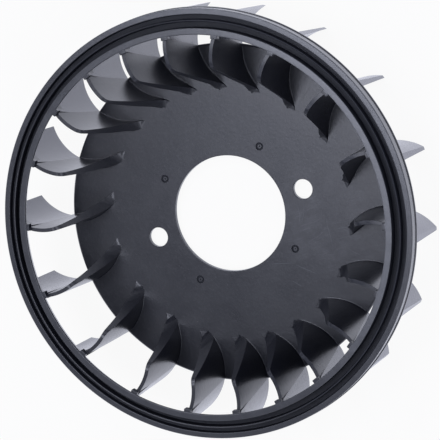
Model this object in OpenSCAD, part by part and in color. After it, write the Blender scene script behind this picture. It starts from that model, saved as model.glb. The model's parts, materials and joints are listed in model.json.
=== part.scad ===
// Cooling fan for an engine flywheel: one plastic moulding with a flat centre disc,
// twenty curved blades and a front ring. +Z points out of the air inlet, towards the ring.
// The origin is on the axis, in the plane of the blades' back edges.

/* [Overall] */
// Diameter over the ring and the blade tips
fan_d = 245; // [235:1:255]
// Height from the blades' back edges to the front of the ring
fan_h = 53.5; // [46:0.5:60]

/* [Disc] */
// Diameter of the centre disc
disc_d = 198.6; // [192:0.1:202]
// Thickness of the centre disc
disc_t = 3; // [2.9:0.1:4]
// Gap from the disc's back to the plane of the blades' back edges
disc_recess = 2.3; // [1:0.1:5]
// Rounding of the disc's front edge
disc_round = 1.2; // [0.4:0.1:1.3]
// Gap between the disc's flat back and the blades' back ends around it
seat_gap = 0.3; // [0.2:0.1:0.5]
// Diameter of the centre bore
bore_d = 68; // [50:1:74]
// Diameter of the circle that the screw holes lie on
screw_pcd = 95.3; // [92:0.1:100]
// Diameter of each screw hole
screw_d = 11.5; // [5:0.1:13]
// Diameter of the circle that the gate marks lie on
gate_pcd = 88.4; // [84:0.1:100]
// Diameter of each sunken gate mark
gate_d = 4.6; // [3:0.1:6]
// Diameter of the sprue stub left in each gate mark
gate_stub_d = 1.6; // [1:0.1:2]
// Depth of each gate mark
gate_deep = 0.5; // [0.3:0.1:1]

/* [Ring] */
// Radial width of the whole ring
ring_w = 14.5; // [12:0.1:16]
// Radial width of the ring's inner lip
lip_in_w = 3.6; // [2:0.1:4]
// Radial width of the ring's outer lip
lip_out_w = 3.3; // [2:0.1:4]
// Drop from the inner lip's front to the outer lip's front
lip_drop = 2.9; // [0:0.1:4]
// Depth of the ring's outer wall behind its lip
wall_deep = 8.1; // [7:0.1:12]
// Depth of the two grooves below the inner lip's front
groove_deep = 6.5; // [5:0.1:7]
// Thickness of the ring under its grooves
floor_t = 2.2; // [1.5:0.1:3]
// Thickness of the ring's inner edge
lip_t = 1.3; // [1:0.1:2.4]
// Flare of the ring's underside, from the axis
flare = 23; // [15:1:26]
// Thickness of the ring's outer wall
wall_t = 2.4; // [1.6:0.1:3]
// How far the thin rib that parts the two grooves lies in from the ring's outside
rib_in = 6.8; // [6:0.1:8]
// Thickness of that rib
rib_t = 0.9; // [0.6:0.1:1.6]
// Drop from the inner lip's front to the top of that rib
rib_drop = 1.6; // [0:0.1:3]
// How far the bead at the ring's back edge stands proud
bead = 0.5; // [0.2:0.1:1]
// Height of the bead at the ring's back edge
bead_h = 1.2; // [0.8:0.1:2]

/* [Blades] */
// Thickness of a blade at its front edge
blade_t = 2; // [1.6:0.1:2.6]
// Radius that a blade is curved to
curve_r = 31.4; // [28:0.1:34]
// How far the centre of that curve lies in from the ring's outside
curve_in = 19.65; // [18.5:0.05:21.5]
// Angle from the blade's nub on the ring to the centre of that curve
curve_lead = 17.1; // [15:0.1:19]
// Angle at which the curve runs out into the blade's straight root
root_turn = 126; // [120:1:132]
// Lean of each blade face, which thickens the blade towards the disc
lean_angle = 2.3; // [1:0.1:3]
// Angle that the two faces lean apart along
lean_turn = 145; // [135:1:155]
// How far inside the ring the mould's two halves meet on a blade's front edge
part_in = 0.7; // [0.4:0.1:1.5]
// How far each face of a blade's outer part stands proud at the front
tip_swell = 0.6; // [0.2:0.1:0.8]
// Lean of the convex face in a blade's outer part, towards the blade's middle
tip_back_angle = 2.1; // [1.6:0.1:2.4]
// Angle that this face leans along
tip_back_turn = 205; // [195:1:215]
// Lean of the hollow face in a blade's outer part, towards the blade's middle
tip_hollow_angle = 1.7; // [1.2:0.1:2]
// Angle that this face leans along
tip_hollow_turn = 124; // [115:1:135]
// Radius at which the blade's sloping inner edge meets the disc
eye_foot_r = 75.4; // [73:0.1:78]
// Radius at which the inner edge would reach the blade's front edge
eye_top_r = 89.4; // [85:0.1:94]
// Rounding between the sloping inner edge and the front edge
shoulder_r = 4.5; // [2:0.5:8]
// Rounding between the sloping inner edge and the disc
foot_r = 3; // [1:0.5:4]
// Drop from the ring's front to the blades' front edges
blade_drop = 3; // [1:0.1:5]
// Width of the nub where a blade runs into the ring
nub_w = 4; // [3:0.1:6]
// How far the nub stands in from the ring
nub_in = 1.9; // [1:0.1:3]
// Depth of the nub, below the ring's front
nub_deep = 4; // [3.5:0.1:5]
// How far the nub reaches past the middle of the blade, on the side that the blade hollows
nub_side = 1; // [0.5:0.1:1.5]

/* [Hidden] */
$fn = 96;
blade_count = 20;
pitch = 360 / blade_count;
// The blades are spaced unevenly, so that the fan doesn't whistle: two waves of this swing
// in one turn close them up on two opposite sides.
swing_angle = 6.35;
start_angle = 329.4;
wave_angle = 16.6;
over = 1;
lap = 0.3;
corner_steps = 6;
far = 4 * curve_r;
disc_z = disc_recess + disc_t;
back_chamfer = over + seat_gap;
ring_r = fan_d / 2;
curve_at = ring_r - curve_in;
rib_inner_r = ring_r - rib_in - rib_t / 2;
rib_outer_r = ring_r - rib_in + rib_t / 2;
eye_r = ring_r - ring_w;
blade_z = fan_h - blade_drop;
lip_z = fan_h - lip_drop;
wall_z = lip_z - wall_deep;
groove_z = fan_h - groove_deep;
under_z = groove_z - floor_t;
flare_r = eye_r + (fan_h - lip_t - under_z) * tan(flare);
slope = atan2(blade_z - disc_z, eye_top_r - eye_foot_r);
part_front_r = eye_r - part_in;
part_back_r = disc_d / 2 - over / 2;

function blade_turn(i) = start_angle - i * pitch - swing_angle * cos(2 * i * pitch - wave_angle);

// Points of an arc of radius r about [x, y], from one angle to another
function arc(x, y, r, from, to) =
    [for (k = [0 : corner_steps])
        let (a = from + (to - from) * k / corner_steps)
        [x + r * cos(a), y + r * sin(a)]];

// The mould's two halves meet on a cone from the disc's rim to the ring, and each half draws
// off its own part of the blade. Half section of the blades' inner part, as [radius, height]:
// the sloping inner edge runs up from the disc over a rounded shoulder to the front edge.
function inner_section() =
    let (
        foot_run = foot_r * tan(slope / 2),
        top_run = shoulder_r * tan(slope / 2)
    )
    concat(
        [[eye_foot_r - foot_run, disc_z - over]],
        arc(eye_foot_r - foot_run, disc_z + foot_r, foot_r, 270, 270 + slope),
        arc(eye_top_r + top_run, blade_z - shoulder_r, shoulder_r, 90 + slope, 90),
        [[part_front_r + lap, blade_z],
         [part_back_r + lap, disc_z - over]]);

// Half section of the blades' outer part, which the ring covers
function outer_section() =
    [[disc_d / 2 - over, 0],
     [disc_d / 2 - over, disc_z - over],
     [part_back_r, disc_z - over],
     [part_front_r, blade_z],
     [eye_r + over / 2, blade_z],
     [eye_r + over / 2, fan_h - lip_t / 2],
     [flare_r + over, under_z + over],
     [ring_r - wall_t / 2, under_z + over],
     [ring_r - wall_t / 2, wall_z + over],
     [ring_r, wall_z + over],
     [ring_r, 0]];

// A blade face as a solid: a leaning cylinder that runs out into a flat slab at the root.
// way is the angle that it leans along and how much.
module face_solid(r, way, reach, run) {
    rotate([0, 0, way[0]])
        rotate([0, -way[1], 0])
            rotate([0, 0, root_turn - way[0]])
                translate([0, 0, -fan_h - over]) {
                    cylinder(r = r, h = fan_h + 2 * over);
                    translate([r - reach, 0, 0])
                        cube([reach, run, fan_h + 2 * over]);
                }
}

// A blade wall, untrimmed: the convex face's solid less the hollow face's
module blade_wall(swell, convex_way, hollow_way) {
    rotate([0, 0, -curve_lead])
        translate([curve_at, 0, fan_h])
            rotate([0, 0, curve_lead])
                difference() {
                    face_solid(curve_r + blade_t / 2 + swell, convex_way, curve_r, curve_r);
                    face_solid(curve_r - blade_t / 2 - swell, hollow_way, far, far);
                }
}

module blade() {
    intersection() {
        blade_wall(0, [lean_turn, lean_angle], [lean_turn + 180, lean_angle]);
        rotate_extrude()
            polygon(inner_section());
    }
    intersection() {
        blade_wall(tip_swell, [tip_back_turn, tip_back_angle], [tip_hollow_turn, tip_hollow_angle]);
        rotate_extrude()
            polygon(outer_section());
    }
}

// The nub that ties a blade's front corner into the ring's inner lip
module nub() {
    translate([eye_r - nub_in, nub_side - nub_w, fan_h - nub_deep])
        cube([nub_in + lip_in_w / 2, nub_w, nub_deep]);
}

// The ring: an inner and an outer lip, a thin rib between two grooves, a flared underside
// and an outer wall with a bead
module ring() {
    rotate_extrude()
        difference() {
            polygon([
                [eye_r, fan_h - lip_t],
                [eye_r, fan_h],
                [eye_r + lip_in_w, fan_h],
                [ring_r - lip_out_w, lip_z],
                [ring_r, lip_z],
                [ring_r, wall_z + bead_h],
                [ring_r + bead, wall_z + bead_h],
                [ring_r + bead, wall_z],
                [ring_r - wall_t, wall_z],
                [ring_r - wall_t, under_z],
                [flare_r, under_z]]);
            translate([eye_r + lip_in_w, groove_z])
                square([rib_inner_r - eye_r - lip_in_w, groove_deep + over]);
            translate([rib_outer_r, groove_z])
                square([ring_r - lip_out_w - rib_outer_r, groove_deep + over]);
            translate([rib_inner_r - over / 2, fan_h - rib_drop])
                square([rib_t + over, rib_drop + over]);
        }
}

module disc() {
    difference() {
        rotate_extrude()
            polygon(concat(
                [[0, disc_recess],
                 [disc_d / 2 - back_chamfer, disc_recess],
                 [disc_d / 2, disc_recess + back_chamfer]],
                arc(disc_d / 2 - disc_round, disc_z - disc_round, disc_round, 0, 90),
                [[0, disc_z]]));
        translate([0, 0, disc_recess - over])
            cylinder(d = bore_d, h = disc_t + 2 * over);
        for (side = [-1, 1])
            translate([side * screw_pcd / 2, 0, disc_recess - over])
                cylinder(d = screw_d, h = disc_t + 2 * over);
        for (turn = [45 : 90 : 315])
            rotate([0, 0, turn])
                translate([gate_pcd / 2, 0, disc_z - gate_deep])
                    difference() {
                        cylinder(d = gate_d, h = gate_deep + over);
                        translate([0, 0, -over])
                            cylinder(d = gate_stub_d, h = gate_deep + over);
                    }
    }
}

module fan() {
    color([0.16, 0.16, 0.18]) {
        disc();
        ring();
        for (i = [0 : blade_count - 1])
            rotate([0, 0, blade_turn(i)]) {
                blade();
                nub();
            }
    }
}

fan();
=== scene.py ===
# %% [markdown]
# A cooling fan for an engine flywheel, dressed for its picture.
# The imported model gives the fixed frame: its size, its place and its one solid. This script
# builds a finer mesh of the same moulding, gives it a moulded plastic and lights it.

import json
import math

import bmesh
import bpy
from mathutils import Matrix, Vector

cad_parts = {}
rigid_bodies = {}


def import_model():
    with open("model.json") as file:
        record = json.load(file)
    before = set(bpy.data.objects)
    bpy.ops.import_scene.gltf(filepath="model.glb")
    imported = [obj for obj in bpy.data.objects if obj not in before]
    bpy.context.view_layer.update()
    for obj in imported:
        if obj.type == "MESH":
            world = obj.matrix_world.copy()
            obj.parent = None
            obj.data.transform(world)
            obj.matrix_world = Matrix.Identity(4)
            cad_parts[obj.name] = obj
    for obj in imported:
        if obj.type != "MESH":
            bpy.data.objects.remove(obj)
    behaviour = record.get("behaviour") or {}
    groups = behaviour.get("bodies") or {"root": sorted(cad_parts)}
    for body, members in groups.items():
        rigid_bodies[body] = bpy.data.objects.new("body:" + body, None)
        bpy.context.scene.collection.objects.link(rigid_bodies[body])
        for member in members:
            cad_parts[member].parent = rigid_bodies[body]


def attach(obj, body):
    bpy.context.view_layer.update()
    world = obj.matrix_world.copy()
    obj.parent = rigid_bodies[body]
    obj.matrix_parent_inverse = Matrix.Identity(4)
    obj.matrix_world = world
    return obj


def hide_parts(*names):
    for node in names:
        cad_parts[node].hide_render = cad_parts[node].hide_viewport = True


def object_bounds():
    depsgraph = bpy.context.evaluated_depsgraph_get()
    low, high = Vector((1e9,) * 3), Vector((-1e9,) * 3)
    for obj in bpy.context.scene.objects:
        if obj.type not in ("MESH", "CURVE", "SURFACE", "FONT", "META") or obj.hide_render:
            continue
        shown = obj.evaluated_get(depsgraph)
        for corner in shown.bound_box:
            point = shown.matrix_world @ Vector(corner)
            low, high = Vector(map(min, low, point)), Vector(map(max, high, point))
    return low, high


for starter in list(bpy.data.objects):
    bpy.data.objects.remove(starter)
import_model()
cad_low, cad_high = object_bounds()
print("frame from", tuple(cad_low), "to", tuple(cad_high))

# %% [markdown]
# The fan is measured in millimetres on the bench, and Blender works in metres, so every size
# goes through mm(). The height comes from the frame. The other sizes are the moulding's own:
# a disc, a ring and twenty blades between them.

# %% Sizes of the moulding
def mm(*sizes):
    scaled = tuple(size / 1000 for size in sizes)
    return scaled[0] if len(scaled) == 1 else scaled


FAN_H = cad_high.z
BEAD_R = cad_high.x
RING_R = BEAD_R - mm(0.5)
DISC_R, DISC_BACK, DISC_FRONT = mm(99.3, 2.3, 5.3)
BORE_R, SCREW_R, SCREW_AT = mm(34, 5.75, 47.65)
GATE_AT, GATE_R, GATE_STUB_R, GATE_DEEP, GATE_PIT_R = mm(44.2, 2.35, 1.35, 0.9, 0.4)
EYE_R = RING_R - mm(14.5)
LIP_IN_R = EYE_R + mm(3.6)
LIP_OUT_R = RING_R - mm(3.3)
LIP_Z = FAN_H - mm(2.9)
WALL_Z = LIP_Z - mm(8.1)
GROOVE_Z = FAN_H - mm(6.5)
UNDER_Z = GROOVE_Z - mm(2.2)
LIP_T = mm(1.3)
FLARE = math.radians(23)
FLARE_R = EYE_R + (FAN_H - LIP_T - UNDER_Z) * math.tan(FLARE)
WALL_R = RING_R - mm(2.4)
RIB_R, RIB_T = mm(115.7, 0.9)
RIB_Z = FAN_H - mm(1.9)
print(f"fan {2000 * RING_R:.1f} mm across and {1000 * FAN_H:.1f} mm high")

# %% [markdown]
# The disc and the ring are round, so each is turned like a pot: its half section is drawn as
# one face, the corners of that face are rounded, and its outline is spun about the axis. A
# cylinder with cuts would need many booleans for the same lips and grooves.

# %% Turn a rounded section about the axis
TURN_STEPS = 288
UP = Vector((0, 0, 1))


def turned(name, corners):
    """corners: (radius, height, rounding) of each corner of the half section."""
    bm = bmesh.new()
    verts = [bm.verts.new((r, 0, z)) for r, z, _ in corners]
    bm.faces.new(verts)
    for rounding in sorted({c[2] for c in corners if c[2]}):
        bmesh.ops.bevel(
            bm, geom=[v for v, c in zip(verts, corners) if c[2] == rounding],
            offset=rounding, offset_type="OFFSET", affect="VERTICES",
            segments=4, profile=0.5, material=-1, clamp_overlap=True)
    bmesh.ops.delete(bm, geom=bm.faces[:], context="FACES_ONLY")
    bmesh.ops.spin(
        bm, geom=bm.verts[:] + bm.edges[:], cent=(0, 0, 0), axis=UP,
        angle=2 * math.pi, steps=TURN_STEPS, use_merge=True)
    bmesh.ops.remove_doubles(bm, verts=bm.verts, dist=1e-7)
    bmesh.ops.recalc_face_normals(bm, faces=bm.faces)
    return placed(name, bm)


def placed(name, bm):
    mesh = bpy.data.meshes.new(name)
    bm.to_mesh(mesh)
    bm.free()
    obj = bpy.data.objects.new(name, mesh)
    bpy.context.scene.collection.objects.link(obj)
    return obj


disc = turned("disc", [
    (BORE_R, DISC_BACK, mm(0.3)),
    (DISC_R - mm(1.3), DISC_BACK, mm(0.3)),
    (DISC_R, DISC_BACK + mm(1.3), mm(0.3)),
    (DISC_R, DISC_FRONT, mm(1.2)),
    (BORE_R, DISC_FRONT, mm(0.4))])
ring = turned("ring", [
    (EYE_R, FAN_H - LIP_T, mm(0.4)),
    (EYE_R, FAN_H, mm(0.5)),
    (LIP_IN_R, FAN_H, mm(0.4)),
    (LIP_IN_R, GROOVE_Z, mm(0.6)),
    (RIB_R - RIB_T / 2, GROOVE_Z, mm(0.6)),
    (RIB_R - RIB_T / 2, RIB_Z, mm(0.42)),
    (RIB_R + RIB_T / 2, RIB_Z, mm(0.42)),
    (RIB_R + RIB_T / 2, GROOVE_Z, mm(0.6)),
    (LIP_OUT_R, GROOVE_Z, mm(0.6)),
    (LIP_OUT_R, LIP_Z, mm(0.4)),
    (RING_R, LIP_Z, mm(0.6)),
    (RING_R, WALL_Z + mm(1.2), mm(0.2)),
    (BEAD_R, WALL_Z + mm(1.2), mm(0.3)),
    (BEAD_R, WALL_Z, mm(0.3)),
    (WALL_R, WALL_Z, mm(0.3)),
    (WALL_R, UNDER_Z, mm(0.6)),
    (FLARE_R, UNDER_Z, mm(0.8))])
print("disc and ring:", len(disc.data.polygons), "and", len(ring.data.polygons), "faces")

# %% [markdown]
# A blade is a wall that is bent to an arc and runs out straight towards the bore. The two
# halves of the mould part on it, along a cone from the disc's rim to the ring: the front half
# draws off the inner part, and the back half draws off the outer part. Each half needs walls
# that lean out of its way, so the two parts lean differently and leave a step where they
# meet. One twisted wall would lose that crease, so each part is a wall of its own. An edge as
# long as the blade is thick is spun into the arc, extruded straight for the root, and pulled
# up into a wall.

# %% Sizes of a blade
BLADE_T, CURVE_R, CURVE_AT = mm(2, 31.4, 102.85)
CURVE_LEAD, ROOT_TURN = math.radians(17.1), math.radians(126)
ROOT_RUN = mm(14)
BLADE_Z = FAN_H - mm(3)
EYE_FOOT_R, EYE_TOP_R, SHOULDER_R, FOOT_R = mm(75.4, 89.4, 4.5, 3)
FILLET = mm(0.6)
SLOPE = math.atan2(BLADE_Z - DISC_FRONT, EYE_TOP_R - EYE_FOOT_R)
BURIED = mm(0.8)
ROOT_STEPS, FILLET_STEPS, WALL_STEPS = 14, 4, 9


def polar(r, turn):
    return Vector((r * math.cos(turn), r * math.sin(turn), 0))


CURVE_CENTRE = polar(CURVE_AT, -CURVE_LEAD)
ROOT_WAY = polar(1, ROOT_TURN)
ROOT_ALONG = polar(1, ROOT_TURN + math.pi / 2)


# %% [markdown]
# The blade's front edge seen from the side: a fillet off the disc, a steep straight slope, a
# rounded shoulder, a level stretch, and then the part that is hidden inside the ring. Where
# it is hidden it stays a millimetre inside the ring's own plastic.

# %% Height of a blade's front edge at a radius
TOE_Z = DISC_FRONT - BURIED + mm(0.2)
UNDER_LIP_R = EYE_R + mm(0.3)
HIDDEN, HIDDEN_DROP = mm(1, 6.9)


def front_height(r):
    foot_run = FOOT_R * math.tan(SLOPE / 2)
    top_run = SHOULDER_R * math.tan(SLOPE / 2)
    foot_start = EYE_FOOT_R - foot_run
    foot_end = foot_start + FOOT_R * math.sin(SLOPE)
    top_end = EYE_TOP_R + top_run
    top_start = top_end - SHOULDER_R * math.sin(SLOPE)
    if r < foot_start:
        return max(DISC_FRONT - (foot_start - r), TOE_Z)
    if r < foot_end:
        return DISC_FRONT + FOOT_R - math.sqrt(FOOT_R ** 2 - (r - foot_start) ** 2)
    if r < top_start:
        return DISC_FRONT + (r - EYE_FOOT_R) * math.tan(SLOPE)
    if r < top_end:
        return BLADE_Z - SHOULDER_R + math.sqrt(SHOULDER_R ** 2 - (top_end - r) ** 2)
    if r < UNDER_LIP_R:
        return BLADE_Z
    if r < WALL_R:
        inside = (r - EYE_R) / (FLARE_R + HIDDEN - EYE_R)
        return max(FAN_H - LIP_T / 2 - inside * HIDDEN_DROP, UNDER_Z + HIDDEN)
    return WALL_Z + HIDDEN


# %% [markdown]
# Every point of the raised wall then moves to where the moulding has it: up to the front
# edge, and across with the lean of its face. The inner part also gets a small fillet along
# the disc, which fades out at the disc's rim. The lean moves a point along the front edge,
# and that changes the edge's height there, so a few rounds settle the two together.

# %% Where each point of a blade lies
FADE_END, FADE_RUN, THINNEST = DISC_R - mm(0.8), mm(2.5), mm(0.02)
SETTLE_ROUNDS = 4
# How far each face stands proud at the front, which way it leans, and by how much
FACES = {
    ("inner", 1): (0.0, 145, 2.3),
    ("inner", -1): (0.0, 325, 2.3),
    ("outer", 1): (mm(0.6), 205, 2.1),
    ("outer", -1): (mm(0.6), 124, 1.7)}


def rows_of(part, top, r):
    """Heights of the points in one upright line of a wall, and the fillet's width there."""
    steps = FILLET_STEPS + WALL_STEPS
    if part == "outer":
        return [(top * k / (steps + 1), 0.0) for k in range(steps + 2)]
    rim = min(max((FADE_END - r) / FADE_RUN, 0.0), 1.0)
    fillet = min(FILLET * rim, max(top - DISC_FRONT, THINNEST) * 0.8)
    rows = [(min(DISC_FRONT - BURIED, top - mm(0.1)), fillet)]
    for k in range(FILLET_STEPS + 1):
        bend = k / FILLET_STEPS * math.pi / 2
        rows.append((min(DISC_FRONT + fillet * (1 - math.cos(bend)), top),
                     fillet * (1 - math.sin(bend))))
    low = rows[-1][0]
    return rows + [(low + (top - low) * k / WALL_STEPS, 0.0) for k in range(1, WALL_STEPS + 1)]


def shaped(plan, part, side, level):
    """plan: the point on the ribbon; side: 1 on the convex face, -1 on the hollow one;
    level: 0 at the back edge to 1 at the front edge."""
    along = (plan - CURVE_CENTRE).dot(ROOT_ALONG)
    outward = ROOT_WAY if along > 0 else (plan - CURVE_CENTRE).normalized()
    proud, turn, lean = FACES[part, side]
    shift = polar(math.tan(math.radians(lean)), math.radians(turn))
    row = round(level * (FILLET_STEPS + WALL_STEPS + 1))
    z = BLADE_Z
    for _ in range(SETTLE_ROUNDS):
        point = plan + side * outward * proud + shift * (FAN_H - z)
        r = point.length
        z, fillet = rows_of(part, front_height(r), r)[row]
    point += side * outward * fillet
    return Vector((point.x, point.y, z))


# %% One part of a blade
def blade_part(part, first_turn, last_turn, arc_steps, root_steps):
    bm = bmesh.new()
    face_side = bm.verts.layers.float.new("side")
    first = polar(1, math.radians(first_turn))
    hollow = bm.verts.new(CURVE_CENTRE + (CURVE_R - BLADE_T / 2) * first)
    convex = bm.verts.new(CURVE_CENTRE + (CURVE_R + BLADE_T / 2) * first)
    hollow[face_side], convex[face_side] = -1.0, 1.0
    start = bm.edges.new((hollow, convex))
    bmesh.ops.spin(
        bm, geom=[hollow, convex, start], cent=CURVE_CENTRE, axis=UP,
        angle=math.radians(last_turn - first_turn), steps=arc_steps)
    edge = start
    for _ in range(root_steps):
        made = bmesh.ops.extrude_edge_only(bm, edges=[edge])["geom"]
        moved = [g for g in made if isinstance(g, bmesh.types.BMVert)]
        bmesh.ops.translate(bm, verts=moved, vec=ROOT_ALONG * ROOT_RUN / root_steps)
        edge = next(g for g in made if isinstance(g, bmesh.types.BMEdge)
                    and set(g.verts) == set(moved))
    made = bmesh.ops.extrude_face_region(bm, geom=bm.faces[:], use_keep_orig=True)["geom"]
    bmesh.ops.translate(
        bm, verts=[g for g in made if isinstance(g, bmesh.types.BMVert)], vec=UP)
    upright = [e for e in bm.edges if abs(e.verts[0].co.z - e.verts[1].co.z) > 0.5]
    bmesh.ops.subdivide_edges(
        bm, edges=upright, cuts=FILLET_STEPS + WALL_STEPS, use_grid_fill=True)
    for v in bm.verts:
        plan = Vector((v.co.x, v.co.y, 0))
        v.co = shaped(plan, part, 1 if v[face_side] > 0 else -1, v.co.z)
    bmesh.ops.recalc_face_normals(bm, faces=bm.faces)
    return bm


inner = blade_part("inner", 126, 66, 34, ROOT_STEPS)
outer = blade_part("outer", 97, 34, 36, 0)
print("inner part", len(inner.verts), "points, outer part", len(outer.verts), "points")

# %% [markdown]
# The two parts are trimmed where the mould parts, with a small lap so that they join into one
# solid. Across one blade the parting cone is as good as flat, so a plane cuts it. The tip is
# cut off flush with the ring. Then the long corners of the front edge are rounded by a bevel
# of three steps, half as wide as a pencil line. All this is done before a blade is repeated.

# %% Trim the parts and round the front edge
PART_FRONT, PART_BACK = Vector(mm(107.3, 0, 50.5)), Vector(mm(98.8, 0, 4.3))
LAP = mm(0.3)
TIP_AT, TIP_SHORT = math.radians(-4.8), mm(0.03)
EDGE_ROUND, FOOT_CLEAR, CREASE = mm(0.35), mm(1.6), 1.0


def trim(bm, at, normal):
    """Clears what lies beyond the plane and closes the cut."""
    bmesh.ops.bisect_plane(
        bm, geom=bm.verts[:] + bm.edges[:] + bm.faces[:], dist=1e-7,
        plane_co=at, plane_no=normal, clear_outer=True)
    bmesh.ops.holes_fill(bm, edges=[e for e in bm.edges if e.is_boundary], sides=0)
    bmesh.ops.recalc_face_normals(bm, faces=bm.faces)


def is_front_corner(edge):
    up = [f.normal.z > 0.3 for f in edge.link_faces]
    high = min(v.co.z for v in edge.verts) > DISC_FRONT + FOOT_CLEAR
    within = max(v.co.xy.length for v in edge.verts) < UNDER_LIP_R
    return high and within and len(up) == 2 and up[0] != up[1] and edge.calc_face_angle(0) > CREASE


parting = (PART_FRONT - PART_BACK).cross(Vector((0, -1, 0))).normalized()
trim(inner, PART_FRONT + LAP * parting, parting)
trim(outer, PART_FRONT, -parting)
trim(outer, polar(RING_R - TIP_SHORT, TIP_AT), polar(1, TIP_AT))
for name, bm in ("inner", inner), ("outer", outer):
    bm.normal_update()
    corners = [e for e in bm.edges if is_front_corner(e)]
    bmesh.ops.bevel(
        bm, geom=corners, offset=EDGE_ROUND, offset_type="OFFSET", affect="EDGES",
        segments=3, profile=0.5, material=-1, clamp_overlap=True)
    bmesh.ops.recalc_face_normals(bm, faces=bm.faces)
    print(name, "part:", len(corners), "corners rounded,",
          sum(not e.is_manifold for e in bm.edges), "open edges")

# %% [markdown]
# Evenly spaced blades would whistle at one pitch, so the maker spaced these unevenly: they
# crowd together on two opposite sides. Two waves in one turn give that spacing.

# %% Set the twenty blades round the fan
BLADES = 20
PITCH = 360 / BLADES
SWING, START, WAVE = 6.35, 329.4, 16.6


def blade_turn(i):
    return math.radians(START - i * PITCH - SWING * math.cos(math.radians(2 * i * PITCH - WAVE)))


def around(name, source):
    """Joins a copy of one small bmesh at each blade's place into a single object."""
    one = bpy.data.meshes.new(name)
    source.to_mesh(one)
    source.free()
    all_round = bmesh.new()
    for i in range(BLADES):
        before = len(all_round.verts)
        all_round.from_mesh(one)
        all_round.verts.ensure_lookup_table()
        bmesh.ops.rotate(
            all_round, verts=all_round.verts[before:], cent=(0, 0, 0),
            matrix=Matrix.Rotation(blade_turn(i), 3, "Z"))
    bpy.data.meshes.remove(one)
    return placed(name, all_round)


inner_parts = around("inner parts", inner)
outer_parts = around("outer parts", outer)
print("blades:", len(inner_parts.data.polygons) + len(outer_parts.data.polygons), "faces")

# %% [markdown]
# Where a blade runs into the ring's inner lip, the moulding has a small square nub. It is a
# cube with rounded edges.

# %% Nubs on the ring's lip
NUB_IN, NUB_W, NUB_SIDE, NUB_DEEP = mm(1.9, 4, 1, 4)
NUB_BURIED, NUB_LOW, NUB_ROUND = mm(1.8, 0.1, 0.4)
nub = bmesh.new()
bmesh.ops.create_cube(nub, size=1)
bmesh.ops.scale(nub, verts=nub.verts, vec=(NUB_IN + NUB_BURIED, NUB_W, NUB_DEEP - NUB_LOW))
bmesh.ops.translate(nub, verts=nub.verts, vec=(
    EYE_R + (NUB_BURIED - NUB_IN) / 2, NUB_SIDE - NUB_W / 2, FAN_H - NUB_LOW - NUB_DEEP / 2))
bmesh.ops.bevel(
    nub, geom=nub.edges[:], offset=NUB_ROUND, offset_type="OFFSET", affect="EDGES",
    segments=3, profile=0.5, material=-1, clamp_overlap=True)
nubs = around("nubs", nub)
print("nubs:", len(nubs.data.polygons), "faces")

# %% [markdown]
# The two screw holes and the four gate marks are cut into the disc before the blades are
# joined to it. A gate mark is the round dimple where the plastic ran into the mould, with
# the stub of the runner standing in it. Each cutter is turned like the disc, about its own
# axis, and flares at the mouth so that the cut edge comes out broken, as on a moulding.

# %% Cutters for the screw holes and the gate marks
BREAK = mm(0.3)


def cutter(name, corners, at, turn, steps):
    bm = bmesh.new()
    verts = [bm.verts.new((r, 0, z)) for r, z in corners]
    edges = [bm.edges.new(pair) for pair in zip(verts, verts[1:] + verts[:1])]
    bmesh.ops.spin(
        bm, geom=verts + edges, cent=(0, 0, 0), axis=UP,
        angle=2 * math.pi, steps=steps, use_merge=True)
    bmesh.ops.remove_doubles(bm, verts=bm.verts, dist=1e-7)
    bmesh.ops.dissolve_degenerate(bm, edges=bm.edges, dist=1e-7)
    loose = [f for f in bm.faces if f.calc_area() < 1e-14]
    bmesh.ops.delete(bm, geom=loose, context="FACES")
    bmesh.ops.recalc_face_normals(bm, faces=bm.faces)
    bmesh.ops.translate(bm, verts=bm.verts, vec=polar(at, math.radians(turn)))
    return placed(name, bm)


past = mm(1)
screw_cut = [
    (0, DISC_BACK - past), (SCREW_R + BREAK + past, DISC_BACK - past),
    (SCREW_R, DISC_BACK + BREAK), (SCREW_R, DISC_FRONT - BREAK),
    (SCREW_R + BREAK + past, DISC_FRONT + past), (0, DISC_FRONT + past)]
gate_floor = DISC_FRONT - GATE_DEEP
gate_cut = [
    (GATE_STUB_R, gate_floor), (GATE_R - mm(0.2), gate_floor), (GATE_R, gate_floor + mm(0.2)),
    (GATE_R, DISC_FRONT - mm(0.1)), (GATE_R + mm(0.1), DISC_FRONT + past),
    (0, DISC_FRONT + past), (0, gate_floor), (GATE_PIT_R, gate_floor),
    (GATE_PIT_R, DISC_FRONT - mm(0.2)), (GATE_STUB_R - mm(0.15), DISC_FRONT - mm(0.2)),
    (GATE_STUB_R, DISC_FRONT - mm(0.35))]
cutters = [cutter("screw hole", screw_cut, SCREW_AT, turn, 64) for turn in (0, 180)]
cutters += [cutter("gate mark", gate_cut, GATE_AT, turn, 40) for turn in (45, 135, 225, 315)]
print(len(cutters), "cutters for the disc")

# %% [markdown]
# The moulding is one solid, so its parts are joined into one closed skin. The Manifold
# solver of the Boolean modifier does this quickly, and keeps the quads away from the joints.

# %% Join everything into one skin
def combined(target, tool, operation):
    step = target.modifiers.new(operation.title(), "BOOLEAN")
    step.object = tool
    step.operation = operation
    step.solver = "MANIFOLD"
    seen = target.evaluated_get(bpy.context.evaluated_depsgraph_get())
    target.data = bpy.data.meshes.new_from_object(seen)
    target.modifiers.clear()
    bpy.data.objects.remove(tool)


fan = disc
fan.name = fan.data.name = "fan_moulding"
for tool in cutters:
    combined(fan, tool, "DIFFERENCE")
for tool in (inner_parts, ring, outer_parts, nubs):
    combined(fan, tool, "UNION")
    print("joined", len(fan.data.polygons), "faces so far")
fan.data.shade_smooth()
fan.data.set_sharp_from_angle(angle=math.radians(35))
even = fan.modifiers.new("even shading", "WEIGHTED_NORMAL")
even.keep_sharp = True
even.weight = 100

# %% [markdown]
# The joins leave long thin faces across the disc, and a shading normal that is off at one end
# of them shows as a streak. The disc is moulded flat, so every corner that lies on its front
# or its back is told to face straight out of it.

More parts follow.
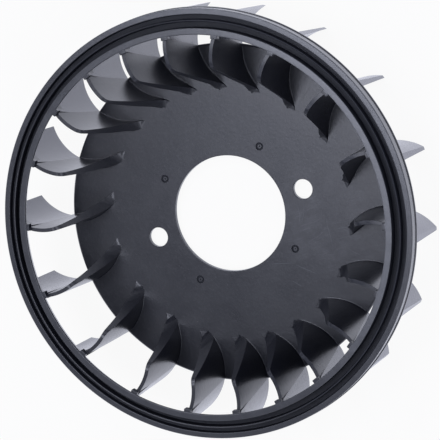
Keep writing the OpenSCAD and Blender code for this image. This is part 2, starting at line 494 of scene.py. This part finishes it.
# %% Keep the disc flat
ON_LEVEL, NEARLY_STRAIGHT = 1e-6, 0.8
seen = fan.evaluated_get(bpy.context.evaluated_depsgraph_get())
fan.data = bpy.data.meshes.new_from_object(seen)
fan.modifiers.clear()
normals = [Vector(corner.vector) for corner in fan.data.corner_normals]
levelled = 0
for level, way in (DISC_FRONT, UP), (DISC_BACK, -UP):
    for corner in fan.data.loops:
        point = fan.data.vertices[corner.vertex_index].co
        on_flat = abs(point.z - level) < ON_LEVEL and point.xy.length < DISC_R
        if on_flat and normals[corner.index].dot(way) > NEARLY_STRAIGHT:
            normals[corner.index] = way
            levelled += 1
fan.data.normals_split_custom_set(normals)
print(levelled, "corners face straight out of the disc")

# %% [markdown]
# The camera stands where the photograph was taken: high over the inlet and a little to one
# side, far off with a long lens. It is placed by its aim point on the ring's front plane, its
# bearing and height angle about that point, its distance and its roll.

# %% Camera
AIM = Vector(mm(13.06, 0.38, 53.5))
BEARING, HEIGHT, ROLL = (math.radians(a) for a in (6.218, 67.216, 115.118))
DISTANCE = mm(1245.7)
SENSOR, LENS = 36, 182.6

camera_data = bpy.data.cameras.new("camera")
camera_data.sensor_width = SENSOR
camera_data.lens = LENS
camera = bpy.data.objects.new("camera", camera_data)
bpy.context.scene.collection.objects.link(camera)
away = polar(math.cos(HEIGHT), BEARING) + math.sin(HEIGHT) * UP
upright = away.to_track_quat("Z", "Y").to_matrix().to_4x4()
camera.matrix_world = (
    Matrix.Translation(AIM + away * DISTANCE) @ upright @ Matrix.Rotation(-ROLL, 4, "Z"))
bpy.context.scene.camera = camera
print("camera at", tuple(round(c, 3) for c in camera.matrix_world.translation))

# %% [markdown]
# A material is a network of nodes. Masks are easier to read as sums, so one small class wraps
# a node's output and lets Python's own operators add the Math nodes.

# %% Shader maths
class Wire:
    """One socket of a node tree, so that shader maths reads as maths."""
    tree = None

    def __init__(self, socket):
        self.socket = socket

    @classmethod
    def node(cls, kind, settings=None, inputs=None, output=0):
        """A new node. Its settings come first, because they change which sockets it has."""
        made = cls.tree.nodes.new(kind)
        for name, value in (settings or {}).items():
            setattr(made, name, value)
        for name, value in (inputs or {}).items():
            if isinstance(value, cls):
                cls.tree.links.new(value.socket, made.inputs[name])
            else:
                made.inputs[name].default_value = value
        return cls(made.outputs[output])

    def math(self, operation, other=0.0, first=None):
        a, b = (self, other) if first is None else (first, self)
        return Wire.node("ShaderNodeMath", {"operation": operation}, {0: a, 1: b})

    def __add__(self, other):
        return self.math("ADD", other)

    __radd__ = __add__

    def __sub__(self, other):
        return self.math("SUBTRACT", other)

    def __rsub__(self, other):
        return self.math("SUBTRACT", first=other)

    def __mul__(self, other):
        return self.math("MULTIPLY", other)

    __rmul__ = __mul__

    def __truediv__(self, other):
        return self.math("DIVIDE", other)

    def least(self, other):
        return self.math("MINIMUM", other)

    def most(self, other):
        return self.math("MAXIMUM", other)

    def away(self):
        return self.math("ABSOLUTE")

    def root(self):
        return self.math("SQRT")

    def to(self, point):
        """Distance from this place to a fixed point."""
        return Wire.node("ShaderNodeVectorMath", {"operation": "DISTANCE"}, {0: self, 1: point}, 1)

    def ramp(self, low, high):
        """0 below low, 1 above high, and smooth between them. low may be the larger."""
        return Wire.node(
            "ShaderNodeMapRange", {"interpolation_type": "SMOOTHSTEP"},
            {"Value": self, "From Min": low, "From Max": high, "To Min": 0.0, "To Max": 1.0})


def mixed(factor, first, second):
    """The first colour where the factor is 0, the second where it is 1."""
    # A Mix node has a pair of sockets for each kind of value, and 6 and 7 are the colours.
    return Wire.node(
        "ShaderNodeMix", {"data_type": "RGBA"}, {0: factor, 6: first, 7: second}, output=2)


def new_material(name):
    material = bpy.data.materials.new(name)
    material.use_nodes = True
    material.node_tree.nodes.clear()
    Wire.tree = material.node_tree
    return material


def surface(shader):
    made = Wire.tree.nodes.new("ShaderNodeOutputMaterial")
    Wire.tree.links.new(shader.socket, made.inputs["Surface"])


# %% [markdown]
# The fan rests on a pale sheet that is lit by the sky and three soft lamps. The sheet and
# the sky are shown as white to the camera and to reflections, because the glossy blades
# mirror the sheet below them. In reflections the white is a cool one, and it gets darker
# overhead, as in a studio with a dark ceiling: that is what the flat disc mirrors. The sheet
# still takes a little of the fan's shadow.

# %% What the camera and the reflections see
COOL, PURE = (0.86, 0.88, 1.0, 1), (1, 1, 1, 1)


def shown_to_eye():
    """1 for the camera, reflections and glass, 0 for the light that falls on things."""
    path = {name: Wire.node("ShaderNodeLightPath", output=name) for name in (
        "Is Camera Ray", "Is Glossy Ray", "Is Transmission Ray")}
    return path["Is Camera Ray"].most(path["Is Glossy Ray"]).most(path["Is Transmission Ray"])


def white_to_camera():
    """Pure white to the camera, and the studio's cool white in reflections."""
    return mixed(Wire.node("ShaderNodeLightPath", output="Is Camera Ray"), COOL, PURE)


# %% Sheet
SHEET_WHITE, SHEET_SHADOW = 0.86, 0.08

sheet_material = new_material("pale sheet")
lit = Wire.node("ShaderNodeBsdfDiffuse", inputs={"Color": (SHEET_WHITE,) * 3 + (1,)})
bright = Wire.node("ShaderNodeEmission", inputs={"Color": white_to_camera(), "Strength": 1.0})
surface(Wire.node("ShaderNodeMixShader", inputs={
    0: shown_to_eye() * (1 - SHEET_SHADOW), 1: lit, 2: bright}))

bm = bmesh.new()
bmesh.ops.create_grid(bm, x_segments=1, y_segments=1, size=3)
sheet = placed("sheet", bm)
sheet.data.materials.append(sheet_material)
print("sheet:", tuple(round(side, 1) for side in sheet.dimensions), "metres")

# %% Sky
SKY, CEILING = 0.55, 0.46
CEILING_FROM, CEILING_TO = 0.35, 0.85

world = bpy.data.worlds.new("studio")
bpy.context.scene.world = world
world.use_nodes = True
world.node_tree.nodes.clear()
Wire.tree = world.node_tree
direction = Wire.node("ShaderNodeTexCoord", output="Generated")
height = Wire.node("ShaderNodeSeparateXYZ", inputs={"Vector": direction}, output="Z")
backdrop = 1 - height.ramp(CEILING_FROM, CEILING_TO) * (1 - CEILING)
eye = shown_to_eye()
sky = Wire.node("ShaderNodeBackground", inputs={
    "Color": white_to_camera(), "Strength": SKY * (1 - eye) + eye * backdrop})
made = Wire.tree.nodes.new("ShaderNodeOutputWorld")
Wire.tree.links.new(sky.socket, made.inputs["Surface"])
print("sky:", SKY, "as light, and", CEILING, "overhead in reflections")

# %% Lamps
LAMP_AIM = Vector((0, 0, 0.02))


def lamp(name, at, side, watts):
    """A square softbox that faces the middle of the fan."""
    light = bpy.data.lights.new(name, "AREA")
    light.shape = "RECTANGLE"
    light.size = light.size_y = side
    light.energy = watts
    light.color = COOL[:3]
    obj = bpy.data.objects.new(name, light)
    obj.location = at
    obj.rotation_euler = (Vector(at) - LAMP_AIM).to_track_quat("Z", "Y").to_euler()
    bpy.context.scene.collection.objects.link(obj)
    print(name, watts, "W")


lamp("right softbox", (0.9, -0.7, 0.9), 0.9, 3)
lamp("top softbox", (-0.15, 0.15, 1.25), 0.5, 3)
lamp("left softbox", (-0.05, 0.95, 0.95), 0.5, 2.5)

# %% [markdown]
# The fan is moulded in black plastic filled with short glass. Its skin is smooth where the
# mould is polished: seen from above it is a cool charcoal, and seen edge on it mirrors the
# white sheet. Two glossy layers over a near black give that, because one layer alone stays
# too dark where a blade turns away. All patterns lie on object coordinates, in metres.

# %% Where a point lies on the fan
plastic = new_material("black_plastic")
place = Wire.node("ShaderNodeTexCoord", output="Object")
x, y, z = (Wire.node("ShaderNodeSeparateXYZ", inputs={"Vector": place}, output=axis)
           for axis in "XYZ")
radius = (x * x + y * y).root()


def noise(scale, detail=2.0, at=place):
    """A soft random pattern, with scale lumps to the metre."""
    return Wire.node("ShaderNodeTexNoise", inputs={"Vector": at, "Scale": scale, "Detail": detail})


on_disc = z.ramp(DISC_BACK - mm(1), DISC_BACK) * z.ramp(DISC_FRONT + mm(0.3), DISC_FRONT + mm(0.1))

# %% [markdown]
# No moulding is quite even. The glass rises to the skin in soft clouds, which show as a
# slight change of gloss, and the mould's own fine grain breaks up the highlights. Four noises
# of different scales give that, from patches as wide as a thumb to grains under a millimetre.

# %% Clouds and grain
clouds = noise(34, 4.0)
blotches = noise(130, 3.0)
speckle = noise(520, 2.0)
grain = noise(1500, 2.0)
print("nodes so far:", len(plastic.node_tree.nodes))

# %% [markdown]
# The bottom of the ring's grooves and of the gate marks was never polished, so it stays dull
# and dark, and so does the top of the thin rib on one side. Each place is a product of soft
# limits on the radius and the height. Folding x and y over to their plus side brings all four
# gate marks to one place.

# %% Dull grooves, rib and gate marks
in_groove = (radius.ramp(LIP_IN_R - mm(0.3), LIP_IN_R) * radius.ramp(LIP_OUT_R + mm(0.3), LIP_OUT_R)
             * z.ramp(FAN_H - mm(1.7), FAN_H - mm(3.2)) * z.ramp(GROOVE_Z - mm(1.2), GROOVE_Z - mm(0.6)))
gate_place = Wire.node("ShaderNodeCombineXYZ", inputs={"X": x.away(), "Y": y.away(), "Z": z})
gate_middle = Vector((*(polar(GATE_AT, math.radians(45)).xy), DISC_FRONT))
from_gate = gate_place.to(gate_middle)
in_gate = (from_gate.ramp(GATE_R + mm(0.15), GATE_R - mm(0.1))
           * z.ramp(DISC_FRONT - mm(0.28), DISC_FRONT - mm(0.36)) * z.ramp(DISC_BACK, DISC_BACK + mm(0.5)))
rib_side = (x * 0.9 + y * 0.42).ramp(mm(-70), mm(-10))
on_rib = ((radius - RIB_R).away().ramp(mm(1), mm(0.7)) * z.ramp(RIB_Z - mm(1.5), RIB_Z - mm(0.8))
          * rib_side)
dull = in_groove.most(in_gate).most(on_rib)
print("nodes so far:", len(plastic.node_tree.nodes))

# %% [markdown]
# The two halves of the mould left different skins on the blades. Past the parting cone the
# back half made them smoother, and there they are also painted a little paler and bluer: a
# painted reflection of the white sheet that they mirror past the disc's rim. Over the disc,
# deep in the front half, the walls stay dull on one side, and turn almost black there. The
# same cone that trims the parts, as a limit on the radius that rises with the height, tells
# one skin from the other.

# %% Two skins on the blades
over_disc = (radius.ramp(mm(104), mm(97)) * z.ramp(DISC_FRONT + mm(0.6), DISC_FRONT + mm(2.5))
             * x.ramp(mm(-40), mm(10)))
parting_slope = (PART_FRONT.x - PART_BACK.x) / (PART_FRONT.z - PART_BACK.z)
past_parting = radius - (z - PART_BACK.z) * parting_slope - PART_BACK.x
clear_of_ring = z.ramp(WALL_Z + mm(0.3), WALL_Z - mm(0.3)).most(radius.ramp(EYE_R, EYE_R - mm(0.4)))
# Past the parting cone: a smoother skin, and a painted reflection in the colour
outer_smooth_and_lit = past_parting.ramp(mm(0.1), mm(0.6)) * clear_of_ring
print("the parting cone opens by", round(1000 * parting_slope), "mm in a metre")

# %% [markdown]
# Hands and tools have rubbed the disc on one side. Broad scuffs are streaky noise: the same
# noise is squeezed along one direction, cut off high so that only thin streaks are left, and
# turned three ways. The longer scratches are arcs, each the thin zone at one distance from a
# centre, cut to length round its middle. All of them wander a little, because the place that
# they are measured from is shaken by a slow noise first.

# %% Places shaken a little
SHAKE = Vector(mm(4.5, 4.5, 0))

shake = Wire.node(
    "ShaderNodeTexNoise", inputs={"Vector": place, "Scale": 70.0, "Detail": 2.0}, output=1)
shaken = Wire.node("ShaderNodeVectorMath", {"operation": "MULTIPLY_ADD"}, {
    0: shake, 1: SHAKE, 2: place})
shaken = Wire.node("ShaderNodeVectorMath", {"operation": "SUBTRACT"}, {
    0: shaken, 1: SHAKE / 2})


# %% Scuffs and scratches
STREAK_EDGE = 0.09


def streaks(turn, across, along, cut):
    """Thin streaks that run along one direction, given in degrees."""
    lying = Wire.node("ShaderNodeMapping", inputs={
        "Vector": shaken, "Rotation": (0, 0, math.radians(-turn)), "Scale": (along, across, 1)})
    return noise(1.0, 3.0, lying).ramp(cut, cut + STREAK_EDGE)


def scratch(middle, turn, length, bow, width=0.3):
    """An arc on the disc's front, in millimetres. bow: radius of the arc, on its left."""
    at = Vector((*mm(*middle), DISC_FRONT))
    centre = at + polar(mm(abs(bow)), math.radians(turn + (90 if bow > 0 else -90)))
    off_line = (shaken.to(centre) - mm(abs(bow))).away()
    off_middle = shaken.to(at)
    within = off_middle.ramp(mm(length * 0.5), mm(length * 0.2))
    return off_line.ramp(mm(width), mm(width * 0.2)) * within


# %% [markdown]
# The rubbed zone is a soft round patch between the bore and the rim. The scratches below are
# placed one by one, each by its middle, the way it runs, its length and its bow.

# %% Marks on the disc
RUBBED_AT = Vector(mm(60, -22, 5.3))
RUBBED_OUTSIDE, RUBBED_INSIDE = mm(46, 18)

rubbed = shaken.to(RUBBED_AT).ramp(RUBBED_OUTSIDE, RUBBED_INSIDE) * on_disc
rubbed = rubbed * (0.3 + clouds.ramp(0.4, 0.62) * 0.7)
fine_scuffs = (streaks(-12, 700, 90, 0.6) + streaks(52, 620, 100, 0.62)
               + streaks(110, 660, 85, 0.61)) * blotches.ramp(0.4, 0.6)
scratches = (
    scratch((63.5, -25), -11, 13, 60) + scratch((62.5, -27.8), -12, 12, 50)
    + scratch((61, -33.4), -8, 11, -45) + scratch((47, -28), 19, 12, 40)
    + scratch((54, -27.5), -98, 20, 55) + scratch((41, -13), -108, 12, -30)
    + scratch((43, -13.5), -117, 11, 35) + scratch((33.6, -44.3), -41, 16, -90, 0.4)
    + scratch((21, -37), -17, 16, 120) + scratch((25, -50.3), -30, 9, -25)
    + scratch((78.5, -40), -68, 13, -30) + scratch((64, -43), -42, 10, 25))
marks = (fine_scuffs * rubbed * 0.7 + scratches * on_disc * 0.9).least(1.0)
print("nodes so far:", len(plastic.node_tree.nodes))

# %% [markdown]
# The two lips are painted a little pale, more on one side than on the other: a painted sheen
# where the lamps catch them, made uneven by blotches. Specks of dust are the small round
# cores of a cell pattern, kept only where a second noise is high.

# %% Painted sheen on the lips, and dust
inner_lip = radius.ramp(EYE_R - mm(0.5), EYE_R) * radius.ramp(LIP_IN_R + mm(0.1), LIP_IN_R)
outer_lip = radius.ramp(LIP_OUT_R - mm(0.1), LIP_OUT_R)
inner_lip_sheen = 0.7 + (x / radius).ramp(0.2, 0.9) * 2.3
outer_lip_sheen = 0.5 + ((x + y) / radius).ramp(0.4, 1.3) * 1.7
ring_wall = radius.ramp(RING_R - mm(0.4), RING_R - mm(0.05)) * z.ramp(WALL_Z - mm(0.5), WALL_Z)
# Painted sheen: the lips are painted paler, most on the side that the lamps catch
lip_sheen = (inner_lip * z.ramp(FAN_H - mm(0.6), FAN_H - mm(0.2)) * inner_lip_sheen
           + outer_lip * z.ramp(LIP_Z - mm(0.6), LIP_Z - mm(0.2)) * outer_lip_sheen) * (0.6 + blotches * 0.8)
cells = Wire.node("ShaderNodeTexVoronoi", inputs={"Vector": place, "Scale": 210.0})
dust = cells.ramp(0.075, 0.045) * noise(160, 1.0).ramp(0.6, 0.64) * (1 - dull)
print("nodes so far:", len(plastic.node_tree.nodes))

# %% [markdown]
# Now the masks come together. Marks, dust and wear turn the near black paler and duller,
# and the painted sheen on the lips and the painted reflection on the outer blades turn it paler.
# Marks and dull places also lose some of the upper glossy layer, while the ring's outer wall
# and the outer parts of the blades, which came smooth out of the mould, keep the most of it.

# %% Black plastic
# The second black is a painted reflection: the paler, bluer black of the blades' outer parts
NEAR_BLACK, OUTER_PAINTED_LIGHT = (0.008, 0.009, 0.015, 1), (0.06, 0.061, 0.09, 1)
# The grey is both wear and the painted sheen on the lips
WORN_AND_SHEEN_GREY = (0.11, 0.115, 0.13, 1)
GLOSS_TINT = (0.9, 0.93, 1.0, 1)
SMOOTH, COAT_SMOOTH, REFRACTION = 0.32, 0.27, 1.5
BUMP_HEIGHT, BUMP_STRENGTH = mm(0.2), 0.2

pale = (marks * 0.5 + dust * 0.45 + rubbed * (0.08 + blotches.ramp(0.42, 0.62) * 0.14)
        + lip_sheen * 0.28 + speckle.ramp(0.5, 0.75) * 0.06 * (1 - dull)).least(1.0)
# Painted light in the colour: the reflection on the outer blades and the sheen on the lips
colour = mixed(pale, mixed(outer_smooth_and_lit, NEAR_BLACK, OUTER_PAINTED_LIGHT), WORN_AND_SHEEN_GREY)
gloss_change = (clouds - 0.5) * 0.2 + (blotches - 0.5) * 0.1
roughness = (SMOOTH + gloss_change + marks * 0.22 + dull * 0.22 + rubbed * 0.05
             - outer_smooth_and_lit * 0.1 - ring_wall * 0.14).least(0.8).most(0.15)
coat = 0.9 + (clouds - 0.5) * 0.6 + (blotches - 0.5) * 0.3 + outer_smooth_and_lit.most(ring_wall) * 0.2
coat = (coat * (1 - dull * 0.95) * (1 - marks * 0.3) * (1 - over_disc)).least(1.0).most(0.0)
relief = grain - marks * 0.6 + speckle * 1.5 + blotches * 2.0
bump = Wire.node("ShaderNodeBump", inputs={
    "Strength": BUMP_STRENGTH, "Distance": BUMP_HEIGHT, "Height": relief})
surface(Wire.node("ShaderNodeBsdfPrincipled", inputs={
    "Base Color": colour, "Roughness": roughness, "Normal": bump, "IOR": REFRACTION,
    "Specular Tint": GLOSS_TINT, "Coat Weight": coat, "Coat Roughness": COAT_SMOOTH,
    "Coat IOR": REFRACTION}))
fan.data.materials.clear()
fan.data.materials.append(plastic)
print("black_plastic:", len(plastic.node_tree.nodes), "nodes")

# %% [markdown]
# The new mesh stands for the imported node, which is hidden, and rides on its only body.

# %% Finish
bpy.context.scene.view_settings.view_transform = "Standard"
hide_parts("fan")
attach(fan, "root")
